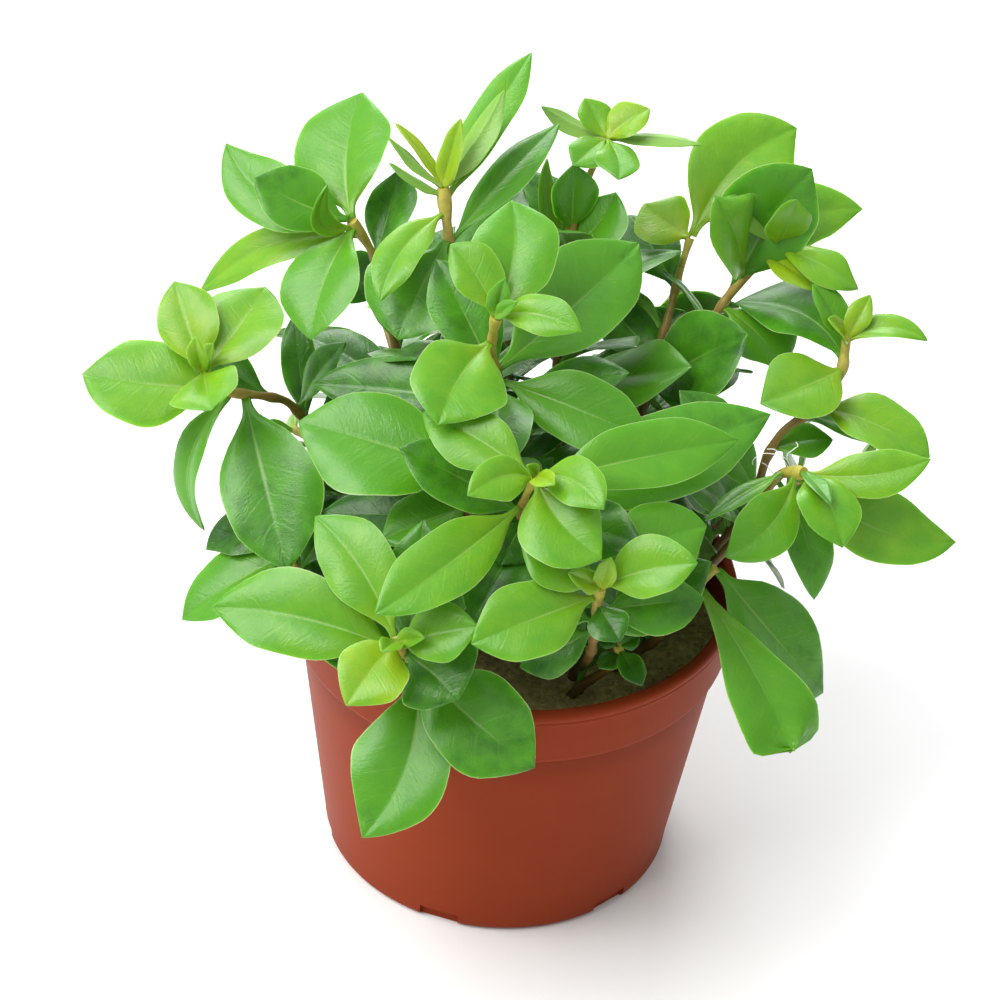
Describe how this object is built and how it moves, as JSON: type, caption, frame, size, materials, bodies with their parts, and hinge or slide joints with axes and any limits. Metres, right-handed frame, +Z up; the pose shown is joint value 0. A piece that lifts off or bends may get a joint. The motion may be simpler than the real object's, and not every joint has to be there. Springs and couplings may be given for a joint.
{
  "type": "potted plant",
  "caption": "Bushy green-leaved ludwigia in a small round terracotta-brown nursery pot, its leafy shoots spilling over the rim.",
  "frame": {"origin": "centre of the pot's flat base", "axes": "+Z up through the pot; -Y towards the side shown in the picture; +X to the right from there"},
  "size_m": [0.1044, 0.087, 0.0983],
  "materials": {
    "young_leaf": "satin, waxy yellow-green blade",
    "mature_leaf": "satin, waxy mid to dark green blade",
    "shoot": "satin green leaves on a yellow-brown stem",
    "pot_plastic": "satin moulded plastic",
    "soil": "matt, fine grained"
  },
  "bodies": {
    "root": {"leaf_centre_down": "mature_leaf", "leaf_centre_far_right": "mature_leaf", "leaf_centre_left": "mature_leaf", "leaf_centre_right": "mature_leaf", "leaf_centre_right_down": "mature_leaf", "leaf_centre_right_low": "mature_leaf", "leaf_centre_right_up": "mature_leaf", "leaf_centre_up": "mature_leaf", "leaf_crown_back": "mature_leaf", "leaf_crown_front": "mature_leaf", "leaf_crown_right": "mature_leaf", "leaf_crown_up": "mature_leaf", "leaf_left_hanging": "mature_leaf", "leaf_left_outer": "young_leaf", "leaf_low_right_hang": "mature_leaf", "leaf_low_right_tip": "mature_leaf", "leaf_lower_left_dark": "mature_leaf", "leaf_lower_left_drop": "mature_leaf", "leaf_lower_left_hang": "mature_leaf", "leaf_lower_left_side": "mature_leaf", "leaf_lower_left_up": "mature_leaf", "leaf_mid_left_big": "mature_leaf", "leaf_rear_tall": "young_leaf", "leaf_right_inner": "mature_leaf", "leaf_right_low": "young_leaf", "leaf_right_side": "young_leaf", "leaf_top_low": "mature_leaf", "leaf_upper_left_dark": "mature_leaf", "leaf_upper_left_far": "mature_leaf", "leaf_upper_left_tall": "mature_leaf", "leaf_upper_right_low": "mature_leaf", "pot": "pot_plastic", "shoot_back_left": "shoot", "shoot_back_middle": "shoot", "shoot_back_right": "shoot", "shoot_centre": "shoot", "shoot_centre_right": "shoot", "shoot_centre_top": "shoot", "shoot_far_right": "shoot", "shoot_left": "shoot", "shoot_low_left": "shoot", "shoot_low_right": "shoot", "shoot_lower_left": "shoot", "shoot_mid_left": "shoot", "shoot_plantlet": "shoot", "shoot_rear_right": "shoot", "shoot_right": "shoot", "shoot_side_left": "shoot", "shoot_side_right": "shoot", "shoot_top": "shoot", "shoot_top_right": "shoot", "shoot_upper_left": "shoot", "shoot_upper_right": "shoot", "soil": "soil"}
  },
  "joints": []
}
